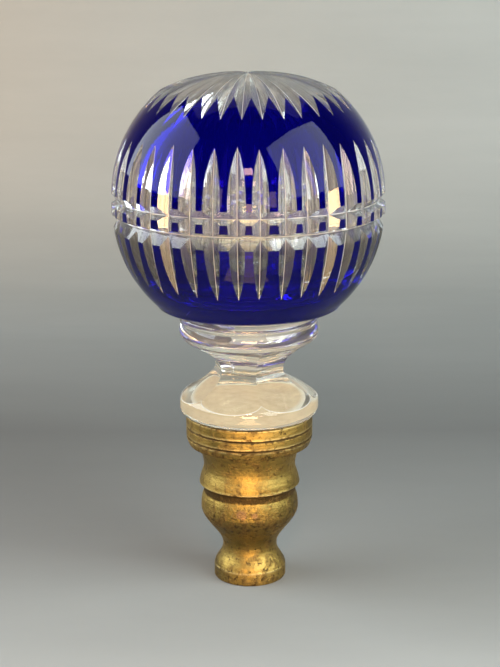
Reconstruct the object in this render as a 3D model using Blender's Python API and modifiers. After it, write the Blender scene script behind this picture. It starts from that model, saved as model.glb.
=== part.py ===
"""Newel post finial: a cut cased-crystal ball on a hexagonal crystal stem, bedded on a turned brass mount.

Metres, +Z up. The origin is the middle of the mount's underside and -Y is the front.
"""

import math

import bmesh
import bpy

MM = 0.001
SHARP_EDGE_DEG = 28.0           # edges that turn more than this are shaded sharp

# Crystal ball
BALL_RADIUS = 50.0 * MM
BALL_STRETCH = 1.5 * MM         # straight part between the two half balls
BALL_FULLNESS = 0.009           # how much the shoulders stand out from a true ball, in ball radii
BALL_HEM_DEG = -47.0            # latitude where the ball turns in under itself
BALL_HEM_ROUND = 1.6 * MM
BALL_UNDERSIDE_DROP = 1.2 * MM  # how much the underside falls towards the stem
BALL_ROW_DEG = 11.0

# Upright cuts round the ball
FLUTES = 36
BALL_SIDES = FLUTES             # one flat of the turned ball to each cut
FLUTE_TURN_DEG = 5.5            # turn of the first cut from the front
RIDGE_TURN_DEG = FLUTE_TURN_DEG + 180 / FLUTES
FLUTE_TOP_DEG = 28.3            # latitude of the upper points
FLUTE_FOOT_DEG = -32.3          # latitude of the lower points
FLUTE_TOP_DEPTH = 2.35 * MM
FLUTE_FOOT_DEPTH = 2.1 * MM
FLUTE_HALF_ANGLE_DEG = 52.7
FLUTE_RUN_OUT = 3.0             # how quickly a cut reaches its full depth
FLUTE_ROWS = (1.09, 1.0, 0.78, 0.5, 0.15)  # of the way from the middle to a cut's point

# Star on the top
STAR_POINTS = 34
STAR_TURN_DEG = -2.9
STAR_TIP_DEG = 40.4             # latitude of the star's points
STAR_DEPTH = 4.7 * MM
STAR_HALF_ANGLE_DEG = 60.0
STAR_RUN_OUT = 1.7
STAR_PAST_TIP_DEG = 5.0         # how far below its points the star's cutter reaches
STAR_ROWS = (0.0, 0.17, 0.36, 0.58, 0.82)  # of the way from the cutter's edge to the pole

# The two level grooves, as height above the ball's middle, depth, and reach up and down
UPPER_GROOVE = (2.1 * MM, 2.3 * MM, 2.8 * MM, 1.75 * MM)
LOWER_GROOVE = (-4.4 * MM, 2.8 * MM, 1.6 * MM, 4.1 * MM)
CUTTER_CLEARANCE = 0.9 * MM     # how far a groove's cutter stands proud of the glass
CUTTER_REACH = 1.2              # outer size of the folded cutters, in ball radii

# Crystal stem, its heights one above the other from the underside of the foot
FOOT_RADIUS = 26.1 * MM
FOOT_SEAT_RADIUS = 23.5 * MM
FOOT_BULGE_HEIGHT = 3.7 * MM    # from the underside up to the widest point
FOOT_BROW_HEIGHT = 7.2 * MM     # from the underside up to the top edge of the rim
FOOT_SHOULDER_HEIGHT = 15.4 * MM
FOOT_EASE = 0.9 * MM            # rounding of the rim's two edges
STEM_WAIST_HEIGHT = 18.3 * MM   # from the underside of the foot up to the waist
STEM_RISE = 11.3 * MM           # from the waist up to the collar
STEM_RADIUS = 14.8 * MM         # turned radius of the neck before its six sides are cut
STEM_THROAT_RADIUS = 21.2 * MM  # turned radius just under the collar
STEM_THROAT_SHARE = 0.27        # of the rise, from the collar down to the throat
STEM_NECK_SHARE = 0.8           # of the rise, from the collar down to the turned neck
STEM_FLATS = 6
STEM_FLAT_RADIUS = 11.6 * MM    # middle of a flat side at the waist
STEM_CORNER_DEG = 11.0          # turn of one corner from the front
FLAT_UPPER_REACH = 9.2 * MM     # outward run of a flat under the collar
FLAT_LOWER_REACH = 13.4 * MM    # outward run of a flat on the foot
FLAT_FOOT_RISE = 6.6 * MM       # height where a flat runs out, above the foot's underside
FLAT_HOLLOW = 0.52              # 1 would make a flat straight; less hollows it
FLAT_LOWER_SHARES = (1.0, 0.7, 0.45, 0.22, 0.07)
FLAT_UPPER_SHARES = (0.0, 0.1, 0.32, 0.63, 1.0)
COLLAR_RADIUS = 26.0 * MM
COLLAR_NECK_RADIUS = 24.9 * MM
COLLAR_HEIGHT = 10.6 * MM
COLLAR_EDGE = 1.0 * MM

# Bed between the foot and the mount
SEAT_GAP = 0.3 * MM
BED_THICKNESS = 3.0 * MM
BED_LIP = 1.5 * MM              # wall of brass left round the bed

# Brass mount, turned, its heights one above the other from the underside
MOUNT_SIDES = 36
RIM_RADIUS = 13.75 * MM
RIM_HEIGHT = 4.8 * MM
RIM_EDGE = 0.3 * MM
ANKLE_RADIUS = 10.35 * MM
ANKLE_RISE = 8.2 * MM           # from the rim's top edge
BELLY_RADIUS = 18.55 * MM
BELLY_RISE = 15.6 * MM          # from the ankle
BELLY_BIAS = 1.02               # above 1 keeps the ankle slim for longer
QUIRK_RADIUS = 17.5 * MM
QUIRK_RISE = 5.7 * MM           # from the belly
QUIRK_START_DEG = 80.0          # where the belly's round leaves the quirk
SKIRT_RADIUS = 19.1 * MM
SKIRT_RISE = 4.0 * MM           # from the quirk up to the skirt's sharp lower edge
WAIST_RADIUS = 17.4 * MM
WAIST_RISE = 6.9 * MM           # from the skirt's edge
THROAT_RADIUS = 19.4 * MM       # under the band
THROAT_RISE = 8.7 * MM          # from the waist
THROAT_BIAS = 0.7
RIM_BIAS = 1.3
BAND_RADIUS = 23.9 * MM
BAND_HEIGHT = 11.4 * MM
BAND_TAPER = 0.9 * MM
BAND_GROOVE_SHARES = (0.39, 0.71)  # of the band's height, from its top
BAND_GROOVE_WIDTH = 0.9 * MM
BAND_GROOVE_DEPTH = 0.5 * MM

# Levels that follow from the sizes above
ANKLE_Z = RIM_HEIGHT + ANKLE_RISE
BELLY_Z = ANKLE_Z + BELLY_RISE
QUIRK_Z = BELLY_Z + QUIRK_RISE
SKIRT_Z = QUIRK_Z + SKIRT_RISE
WAIST_Z = SKIRT_Z + WAIST_RISE
MOUNT_TOP_Z = WAIST_Z + THROAT_RISE + BAND_HEIGHT
FOOT_Z = MOUNT_TOP_Z + SEAT_GAP
STEM_WAIST_Z = FOOT_Z + STEM_WAIST_HEIGHT
COLLAR_FOOT_Z = STEM_WAIST_Z + STEM_RISE
COLLAR_TOP_Z = COLLAR_FOOT_Z + COLLAR_HEIGHT
UNDERSIDE_Z = COLLAR_TOP_Z + BALL_UNDERSIDE_DROP


def clear_scene():
    for thing in list(bpy.data.objects):
        bpy.data.objects.remove(thing, do_unlink=True)


def new_collection(name):
    group = bpy.data.collections.new(name)
    bpy.context.scene.collection.children.link(group)
    return group


def material(name, colour, roughness, metallic=0.0, see_through=0.0):
    made = bpy.data.materials.new(name)
    made.use_nodes = True
    made.diffuse_color = (*colour, 1.0)
    shader = made.node_tree.nodes["Principled BSDF"]
    shader.inputs["Base Color"].default_value = (*colour, 1.0)
    shader.inputs["Roughness"].default_value = roughness
    shader.inputs["Metallic"].default_value = metallic
    shader.inputs["Transmission Weight"].default_value = see_through
    return made


def place(name, mesh, group, finish=None):
    thing = bpy.data.objects.new(name, mesh)
    group.objects.link(thing)
    if finish:
        mesh.materials.append(finish)
    return thing


def make_cutter(thing):
    thing.hide_render = True
    thing.display_type = "WIRE"
    return thing


def turn(name, outline, group, sides, closed=False, finish=None, start_deg=0.0):
    """Turn an outline of (radius, height) points, given down its outer side, about the Z axis."""
    mesh = bpy.data.meshes.new(name)
    edges = [(i, i + 1) for i in range(len(outline) - 1)]
    if closed:
        edges.append((len(outline) - 1, 0))
    mesh.from_pydata([(r, 0.0, z) for r, z in outline], edges, [])
    thing = place(name, mesh, group, finish)
    thing.rotation_euler.z = math.radians(start_deg - 90)
    screw = thing.modifiers.new("Turn", "SCREW")
    screw.steps = sides
    screw.render_steps = sides
    screw.use_merge_vertices = True
    screw.merge_threshold = 0.00001
    return thing


def arc(centre_r, centre_z, radius_r, radius_z, from_deg, to_deg, pieces):
    """Points of an elliptical arc, by angle above the level outward direction."""
    angles = [math.radians(from_deg + (to_deg - from_deg) * i / pieces) for i in range(pieces + 1)]
    return [(centre_r + radius_r * math.cos(a), centre_z + radius_z * math.sin(a)) for a in angles]


def ogee(start, end, bias=1.0, pieces=8):
    """Points of an S between two (radius, height) points, upright at both ends, without its start."""
    points = []
    for i in range(1, pieces + 1):
        t = i / pieces
        eased = t ** bias
        eased = eased * eased * (3 - 2 * eased)
        points.append((start[0] + (end[0] - start[0]) * eased, start[1] + (end[1] - start[1]) * t))
    return points


def ball_reach(latitude):
    """Distance of the uncut surface from its half ball's middle, at a latitude in radians."""
    lean = math.sin(2 * latitude) ** 2
    return BALL_RADIUS * (1 + BALL_FULLNESS * lean)


def ball_centre_z():
    """Height of the lower half ball's middle, from the underside that rests on the collar."""
    hem = math.radians(BALL_HEM_DEG)
    return UNDERSIDE_Z + BALL_HEM_ROUND - ball_reach(hem) * math.sin(hem)


def half_ball_z(latitude):
    """Height of the middle that a latitude, in radians, belongs to."""
    return ball_centre_z() + (BALL_STRETCH if latitude > 0 else 0.0)


def ball_rows(from_deg, to_deg, middle_z):
    """Outline points of the uncut ball from one latitude down to another."""
    pieces = round((from_deg - to_deg) / BALL_ROW_DEG)
    points = []
    for i in range(pieces + 1):
        latitude = math.radians(from_deg + (to_deg - from_deg) * i / pieces)
        reach = ball_reach(latitude)
        points.append((reach * math.cos(latitude), middle_z + reach * math.sin(latitude)))
    return points


def ball_outline():
    """From the pole down to the collar: half ball, straight part, half ball, hem and underside."""
    top = ball_rows(90, 0, ball_centre_z() + BALL_STRETCH)
    top[0] = (0.0, top[0][1])
    low = ball_rows(0, BALL_HEM_DEG, ball_centre_z())
    hem_radius = low[-1][0]
    hem = [(hem_radius - BALL_HEM_ROUND / 2, UNDERSIDE_Z + BALL_HEM_ROUND / 4),
           (hem_radius - BALL_HEM_ROUND * 1.5, UNDERSIDE_Z)]
    return top + low + hem


def collar_outline():
    """Side of the collar from the ball's underside down to its lower edge."""
    neck = (COLLAR_NECK_RADIUS, COLLAR_TOP_Z)
    side = ogee(neck, (COLLAR_RADIUS, COLLAR_FOOT_Z + COLLAR_EDGE), pieces=2)
    return [neck] + side + [
        (COLLAR_RADIUS - COLLAR_EDGE / 3, COLLAR_FOOT_Z + COLLAR_EDGE / 3),
        (COLLAR_RADIUS - COLLAR_EDGE, COLLAR_FOOT_Z),
    ]


def foot_outline():
    """From the neck down over the foot's shoulder and rim to the middle of its underside."""
    brow = (FOOT_RADIUS - FOOT_EASE, FOOT_Z + FOOT_BROW_HEIGHT)
    shoulder = (STEM_RADIUS, FOOT_Z + FOOT_SHOULDER_HEIGHT)
    middle = ((brow[0] + shoulder[0]) / 2, (brow[1] + shoulder[1]) / 2)
    return [
        shoulder,
        middle,
        brow,
        (FOOT_RADIUS, FOOT_Z + FOOT_BULGE_HEIGHT),
        ((FOOT_RADIUS + FOOT_SEAT_RADIUS) / 2 + FOOT_EASE, FOOT_Z + FOOT_BULGE_HEIGHT / 3),
        (FOOT_SEAT_RADIUS, FOOT_Z),
        (0.0, FOOT_Z),
    ]


def flute_depth(latitude):
    """Depth of an upright cut at a latitude; less than nothing past its points."""
    tip = FLUTE_TOP_DEG if latitude > 0 else FLUTE_FOOT_DEG
    full = FLUTE_TOP_DEPTH if latitude > 0 else FLUTE_FOOT_DEPTH
    left = latitude / math.radians(tip)
    return full * (1 - left ** FLUTE_RUN_OUT)


def star_depth(latitude):
    """Depth of a star cut at a latitude, deepest at the pole."""
    left = (math.pi / 2 - latitude) / math.radians(90 - STAR_TIP_DEG)
    return STAR_DEPTH * (1 - left ** STAR_RUN_OUT)


def v_cut_row(latitude, depth, count, half_angle_deg):
    """Radii from the half ball's middle of a row's valleys and of the ridges between them."""
    valley = ball_reach(latitude) - depth
    half_pitch = BALL_RADIUS * math.cos(latitude) * math.pi / count
    ridge = valley + half_pitch / math.tan(math.radians(half_angle_deg))
    return valley, ridge


def ring_of_points(shape, latitude, middle_z, valley, ridge, count, turn_deg):
    """One level row of a folded surface, valley and ridge by turns."""
    ring = []
    for i in range(2 * count):
        reach = ridge if i % 2 else valley
        azimuth = math.radians(turn_deg - 90) + math.pi * i / count
        across = reach * math.cos(latitude)
        height = middle_z + reach * math.sin(latitude)
        ring.append(shape.verts.new((across * math.cos(azimuth), across * math.sin(azimuth), height)))
    return ring


def join_rings(shape, first, second):
    for i in range(len(first)):
        j = (i + 1) % len(first)
        shape.faces.new((first[i], first[j], second[j], second[i]))


def join_to_pole(shape, ring, pole):
    for i in range(len(ring)):
        shape.faces.new((ring[i], ring[(i + 1) % len(ring)], pole))


def folded_cutter(name, rings_of, group):
    """A cutter whose faces are worked out ring by ring by the function given."""
    shape = bmesh.new()
    rings_of(shape)
    bmesh.ops.recalc_face_normals(shape, faces=shape.faces)
    mesh = bpy.data.meshes.new(name)
    shape.to_mesh(mesh)
    shape.free()
    return make_cutter(place(name, mesh, group))


def flute_latitudes():
    """Rows of the upright cuts, from past their upper points to past their lower ones."""
    upper = [math.radians(FLUTE_TOP_DEG) * share for share in FLUTE_ROWS]
    lower = [math.radians(FLUTE_FOOT_DEG) * share for share in reversed(FLUTE_ROWS)]
    return upper + lower


def flute_rings(shape):
    rings = []
    for latitude in flute_latitudes():
        valley, ridge = v_cut_row(latitude, flute_depth(latitude), FLUTES, FLUTE_HALF_ANGLE_DEG)
        middle = half_ball_z(latitude)
        rings.append(ring_of_points(shape, latitude, middle, valley, ridge, FLUTES, FLUTE_TURN_DEG))
    reach = BALL_RADIUS * CUTTER_REACH
    for latitude in (flute_latitudes()[-1], flute_latitudes()[0]):
        middle = half_ball_z(latitude)
        rings.append(ring_of_points(shape, latitude, middle, reach, reach, FLUTES, FLUTE_TURN_DEG))
    for i in range(len(rings)):
        join_rings(shape, rings[i], rings[(i + 1) % len(rings)])


def star_rings(shape):
    past_tip = math.radians(STAR_TIP_DEG - STAR_PAST_TIP_DEG)
    pole = math.pi / 2
    middle = ball_centre_z() + BALL_STRETCH
    rings = []
    for share in STAR_ROWS:
        latitude = past_tip + (pole - past_tip) * share
        valley, ridge = v_cut_row(latitude, star_depth(latitude), STAR_POINTS, STAR_HALF_ANGLE_DEG)
        rings.append(ring_of_points(shape, latitude, middle, valley, ridge, STAR_POINTS, STAR_TURN_DEG))
    reach = BALL_RADIUS * CUTTER_REACH
    side = ring_of_points(shape, past_tip, middle, reach, reach, STAR_POINTS, STAR_TURN_DEG)
    lift = reach * (1 - math.sin(past_tip))
    cover = ring_of_points(shape, past_tip, middle + lift, reach, reach, STAR_POINTS, STAR_TURN_DEG)
    join_rings(shape, cover, side)
    join_rings(shape, side, rings[0])
    for i in range(len(rings) - 1):
        join_rings(shape, rings[i], rings[i + 1])
    join_to_pole(shape, rings[-1], shape.verts.new((0, 0, middle + BALL_RADIUS - STAR_DEPTH)))
    join_to_pole(shape, cover, shape.verts.new((0, 0, middle + reach)))


def groove_cutter(name, groove, group):
    """A turned V, its bottom at the groove's depth and its mouth clear of the glass."""
    height, depth, reach_up, reach_down = groove
    grown = 1 + CUTTER_CLEARANCE / depth
    bottom = (BALL_RADIUS - depth, ball_centre_z() + height)
    mouth = BALL_RADIUS + CUTTER_CLEARANCE
    outline = [(mouth, bottom[1] + reach_up * grown), (mouth, bottom[1] - reach_down * grown), bottom]
    return make_cutter(turn(name, outline, group, BALL_SIDES, closed=True, start_deg=RIDGE_TURN_DEG))


def flat_outline():
    """Outward and height points of one flat side of the neck, from the foot up to the collar."""
    drop = STEM_WAIST_HEIGHT - FLAT_FOOT_RISE
    rise = STEM_RISE - COLLAR_EDGE
    points = []
    for share in FLAT_LOWER_SHARES:
        reach = FLAT_LOWER_REACH * share
        points.append((STEM_FLAT_RADIUS + reach, STEM_WAIST_Z - drop * share ** FLAT_HOLLOW))
    for share in FLAT_UPPER_SHARES:
        reach = FLAT_UPPER_REACH * share
        points.append((STEM_FLAT_RADIUS + reach, STEM_WAIST_Z + rise * share ** FLAT_HOLLOW))
    return points


def flat_cutter(name, number, group):
    """A bar as wide as the foot that grinds one flat, hollow in its height and straight across."""
    outline = flat_outline()
    outer = BALL_RADIUS
    outline.append((outer, outline[-1][1] - COLLAR_EDGE))
    outline.append((outer, outline[0][1] + COLLAR_EDGE))
    shape = bmesh.new()
    face = shape.faces.new([shape.verts.new((0.0, -r, z)) for r, z in outline])
    moved = bmesh.ops.extrude_face_region(shape, geom=[face])["geom"]
    corners = [item for item in moved if isinstance(item, bmesh.types.BMVert)]
    width = 2 * FOOT_RADIUS
    bmesh.ops.translate(shape, vec=(width, 0, 0), verts=corners)
    bmesh.ops.translate(shape, vec=(-width / 2, 0, 0), verts=shape.verts)
    bmesh.ops.recalc_face_normals(shape, faces=shape.faces)
    mesh = bpy.data.meshes.new(name)
    shape.to_mesh(mesh)
    shape.free()
    cutter = make_cutter(place(name, mesh, group))
    step = 360 / STEM_FLATS
    cutter.rotation_euler.z = math.radians(STEM_CORNER_DEG + step * (number + 0.5))
    return cutter


def cut(thing, cutter):
    boolean = thing.modifiers.new(cutter.name, "BOOLEAN")
    boolean.operation = "DIFFERENCE"
    boolean.solver = "EXACT"
    boolean.object = cutter


def crystal_finial(group, cutters):
    finish = material("cased_crystal", (0.03, 0.03, 0.45), 0.03, see_through=0.6)
    outline = ball_outline() + collar_outline()
    outline.append((STEM_THROAT_RADIUS, COLLAR_FOOT_Z - STEM_RISE * STEM_THROAT_SHARE))
    outline.append((STEM_RADIUS, COLLAR_FOOT_Z - STEM_RISE * STEM_NECK_SHARE))
    outline += foot_outline()
    body = turn("crystal_finial", outline, group, BALL_SIDES, finish=finish, start_deg=RIDGE_TURN_DEG)
    cut(body, folded_cutter("flute_cutter", flute_rings, cutters))
    cut(body, folded_cutter("star_cutter", star_rings, cutters))
    cut(body, groove_cutter("upper_groove_cutter", UPPER_GROOVE, cutters))
    cut(body, groove_cutter("lower_groove_cutter", LOWER_GROOVE, cutters))
    for number in range(STEM_FLATS):
        cut(body, flat_cutter(f"flat_cutter_{number}", number, cutters))
    return body


def plaster_bed(group):
    finish = material("plaster", (0.72, 0.6, 0.46), 0.9)
    radius = BAND_RADIUS - BED_LIP - SEAT_GAP
    bottom = MOUNT_TOP_Z - BED_THICKNESS
    outline = [(0.0, MOUNT_TOP_Z), (radius, MOUNT_TOP_Z), (radius, bottom), (0.0, bottom)]
    return turn("plaster_bed", outline, group, MOUNT_SIDES, finish=finish)


def band_outline():
    """Recess for the bed, then the band's side with its fine grooves, down to its underside."""
    inner = BAND_RADIUS - BED_LIP
    floor = MOUNT_TOP_Z - BED_THICKNESS - SEAT_GAP
    points = [(0.0, floor), (inner, floor), (inner, MOUNT_TOP_Z)]
    points += [(BAND_RADIUS - RIM_EDGE, MOUNT_TOP_Z), (BAND_RADIUS, MOUNT_TOP_Z - RIM_EDGE)]
    for share in BAND_GROOVE_SHARES:
        middle = MOUNT_TOP_Z - BAND_HEIGHT * share
        points.append((BAND_RADIUS, middle + BAND_GROOVE_WIDTH / 2))
        points.append((BAND_RADIUS - BAND_GROOVE_DEPTH, middle))
        points.append((BAND_RADIUS, middle - BAND_GROOVE_WIDTH / 2))
    points.append((BAND_RADIUS - BAND_TAPER, MOUNT_TOP_Z - BAND_HEIGHT))
    return points


def mount_outline():
    """The whole brass mount, from its recess down its outside to the middle of its underside."""
    throat = (THROAT_RADIUS, MOUNT_TOP_Z - BAND_HEIGHT + RIM_EDGE)
    waist = (WAIST_RADIUS, WAIST_Z)
    points = band_outline() + [throat]
    points += ogee(throat, waist, bias=THROAT_BIAS, pieces=4)
    points += ogee(waist, (SKIRT_RADIUS, SKIRT_Z), pieces=4)
    points.append((QUIRK_RADIUS, QUIRK_Z))
    bulge = BELLY_RADIUS - QUIRK_RADIUS
    points += arc(QUIRK_RADIUS, BELLY_Z, bulge, QUIRK_RISE, QUIRK_START_DEG, 0, 3)
    ankle = (ANKLE_RADIUS, ANKLE_Z)
    points += reversed(ogee(ankle, (BELLY_RADIUS, BELLY_Z), bias=BELLY_BIAS, pieces=7)[:-1])
    points.append(ankle)
    points += ogee(ankle, (RIM_RADIUS, RIM_HEIGHT), bias=RIM_BIAS, pieces=4)
    points += [(RIM_RADIUS, RIM_EDGE), (RIM_RADIUS - RIM_EDGE, 0.0), (0.0, 0.0)]
    return points


def brass_mount(group):
    finish = material("aged_brass", (0.45, 0.3, 0.1), 0.38, metallic=1.0)
    return turn("brass_mount", mount_outline(), group, MOUNT_SIDES, finish=finish)


def shade_round(thing):
    """Settle a piece's modifiers into its mesh and shade it smooth, with its ground edges sharp."""
    shaped = thing.evaluated_get(bpy.context.evaluated_depsgraph_get())
    mesh = bpy.data.meshes.new_from_object(shaped)
    thing.modifiers.clear()
    thing.data = mesh
    mesh.shade_smooth()
    mesh.set_sharp_from_angle(angle=math.radians(SHARP_EDGE_DEG))


def main():
    clear_scene()
    parts = new_collection("newel_post_finial")
    cutters = new_collection("cutters")
    for piece in (crystal_finial(parts, cutters), plaster_bed(parts), brass_mount(parts)):
        shade_round(piece)


main()
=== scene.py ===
"""The look of the newel post finial: cut cased crystal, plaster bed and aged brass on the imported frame.

Metres, +Z up, origin in the middle of the mount's underside, -Y towards the camera.
"""

import math
import random

import bpy
import numpy as np
from mathutils import Euler, Matrix, Vector


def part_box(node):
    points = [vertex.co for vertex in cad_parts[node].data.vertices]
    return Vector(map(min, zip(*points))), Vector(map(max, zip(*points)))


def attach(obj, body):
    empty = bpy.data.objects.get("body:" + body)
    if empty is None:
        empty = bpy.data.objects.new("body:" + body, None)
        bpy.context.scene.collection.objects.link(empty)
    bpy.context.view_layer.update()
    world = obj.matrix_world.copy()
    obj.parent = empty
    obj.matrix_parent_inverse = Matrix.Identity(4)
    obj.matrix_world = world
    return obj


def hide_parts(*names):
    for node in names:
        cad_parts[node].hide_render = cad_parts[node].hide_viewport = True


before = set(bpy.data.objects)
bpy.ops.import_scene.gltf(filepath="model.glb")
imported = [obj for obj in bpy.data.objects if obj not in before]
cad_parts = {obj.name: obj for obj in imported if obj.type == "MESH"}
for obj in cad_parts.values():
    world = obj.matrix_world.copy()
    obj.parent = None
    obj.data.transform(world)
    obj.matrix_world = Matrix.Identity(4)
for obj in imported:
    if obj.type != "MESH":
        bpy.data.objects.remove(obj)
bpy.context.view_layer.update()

MM = 0.001
WELD_STEP = 1e-6                # points are welded where they round to the same place on this grid

# Ball
BALL_RADIUS = 49.99 * MM
BALL_STRETCH = 1.5 * MM         # straight part between the two half balls
BALL_FULLNESS = 0.009           # how much the shoulders stand out from a true ball, in ball radii
BALL_CENTRE_Z = 145.5 * MM      # middle of the lower half ball
HEM_DEG = -47.0                 # latitude where the ball turns in under itself
HEM_ROUND = 1.6 * MM
HEM_STEPS = [(0.3, 0.55), (0.8, 0.2), (1.6, 0.0)]   # in and up along the hem's rounding, in HEM_ROUND
UNDERSIDE_Z = 107.0 * MM
UNDERSIDE_DIP = 0.4 * MM        # how much lower the underside is near the collar
DIP_PLACE = 0.6                 # of the way from the hem in to the collar
WALL = 7.0 * MM                 # thickness of the blown ball
CAVITY_FLOOR = -31.0 * MM       # lowest level of the hollow, from the ball's middle
CAVITY_SQUARENESS = 2.5         # 2 would be an ellipse
CAVITY_COLUMNS = 120
CAVITY_ROWS = 60

# Upright cuts
FLUTES = 36
FLUTE_TURN_DEG = 5.2
FLUTE_TOP_DEG = 28.3
FLUTE_FOOT_DEG = -32.3
FLUTE_TOP_DEPTH = 2.35 * MM
FLUTE_FOOT_DEPTH = 2.1 * MM
DEPTH_CHANGE_LOW = -3.0 * MM    # below it a cut has its foot's depth
DEPTH_CHANGE_HEIGHT = 4.0 * MM  # and this much above that, its top's
FLUTE_HALF_ANGLE_DEG = 52.7
FLUTE_RUN_OUT = 3.0
WIDEST_CUT = 0.97               # of the way to the middle between two cuts
PLAIN_COLUMNS = 3               # uncut columns of the mesh on each side of a cut
LINE_WIDTH = 0.09 * MM          # half width of the fine ground line at the bottom of a cut
GROOVE_LINE = 0.15 * MM         # and of a level groove

# How far one hand-ground cut may differ from the next
CUT_TURN_DRIFT_DEG = 0.45
CUT_END_DRIFT_DEG = 0.7
CUT_ANGLE_DRIFT_DEG = 1.5
CUT_DEPTH_SHARES = (0.93, 1.05)
STAR_TURN_DRIFT_DEG = 0.5

# Zones of the upright cuts from the seam down to the hem, with the rows of faces in each
FLUTE_ZONES = [
    ("plain_top", 3), ("upper", 22), ("groove_1a", 2), ("line_1", 1), ("groove_1b", 2), ("band", 3),
    ("groove_2a", 2), ("line_2", 1), ("groove_2b", 3), ("lower", 20), ("plain_foot", 6),
]
ROW_CROWDING = 1.15             # how much the rows crowd towards a cut's two ends; 1 is even

# Star
STAR_CUTS = 34
STAR_TURN_DEG = -2.9
STAR_TIP_DEG = 40.4
STAR_DEPTH = 4.8 * MM
STAR_HALF_ANGLE_DEG = 60.0
STAR_RUN_OUT = 1.7
SEAM_DEG = 35.5                 # latitude where the star's mesh meets that of the upright cuts

# Level grooves: height above the ball's middle, depth, and reach up and down
UPPER_GROOVE = (2.1 * MM, 2.3 * MM, 2.8 * MM, 1.75 * MM)
LOWER_GROOVE = (-4.4 * MM, 2.8 * MM, 1.6 * MM, 4.1 * MM)
UPPER_GROOVE_LATITUDE = 0.01    # in radians, where a cut's depth at each groove is taken
LOWER_GROOVE_LATITUDE = -0.05

# Stem
FOOT_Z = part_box("crystal_finial")[0].z
WAIST_Z = 83.9 * MM
COLLAR_FOOT_Z = 95.2 * MM
COLLAR_NECK_RADIUS = 24.9 * MM
FLATS = 6
FLAT_RADIUS = 11.6 * MM         # from the axis to the middle of a flat, at the waist
FLAT_TOP_Z = COLLAR_FOOT_Z - 1.0 * MM
FLAT_FLARE_UP = 9.2 * MM        # how far a flat swings out from the waist up to its top
FLAT_TOP_SLOPE = 6              # and how steeply it goes on above that
FLAT_FLARE_DOWN = 13.4 * MM     # how far it swings out below the waist
FLAT_DROP = 11.7 * MM           # over this drop
FLAT_CURVE = 1 / 0.52           # 1 would be straight, 2 a parabola
CORNER_DEG = 11.0
FLAT_COLUMNS = 24
FLAT_ROWS = 40
OUTLINE_STEPS = 4000            # for finding where the flats begin and end
SEARCH_TOP_Z = COLLAR_FOOT_Z + 1.0 * MM
SEARCH_FOOT_Z = FOOT_Z + 5.0 * MM
EDGE_WIDTH = 0.12 * MM

# Brass and plaster
MOUNT_TOP_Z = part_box("brass_mount")[1].z
BED_RADIUS = 22.1 * MM
BRASS_COLUMNS = 180
PLASTER_COLUMNS = 96

# The brass outline's main points in millimetres, as (radius, height)
BAND_RADIUS = 23.9
BAND_GROOVES = (60.85, 57.2)
BAND_GROOVE = [(0.0, 0.55), (0.15, 0.35), (0.55, 0.0), (0.15, -0.35), (0.02, -0.55)]   # depth, rise
SKIRT_TOP = (19.4, 53.4)
BRASS_WAIST = (17.4, 45.2)
SKIRT_FOOT = (18.9, 39.0)
BELLY = (18.55, 28.6)
ANKLE = (10.35, 13.0)
RIM_SHOULDER = (13.5, 5.2)
LONGEST_STEP = 0.8

dice = random.Random(7)


# Mesh helpers


def weld(rings):
    """One array of points from rings of points, and the place of each in it, points that meet made one."""
    counts = [len(ring) for ring in rings]
    points = np.concatenate([np.asarray(ring, float) for ring in rings])
    keys = np.round(points / WELD_STEP).astype(np.int64)
    _, first, index = np.unique(keys, axis=0, return_index=True, return_inverse=True)
    index = index.reshape(-1)
    places = []
    start = 0
    for count in counts:
        places.append(index[start:start + count])
        start += count
    return points[first], places


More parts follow.
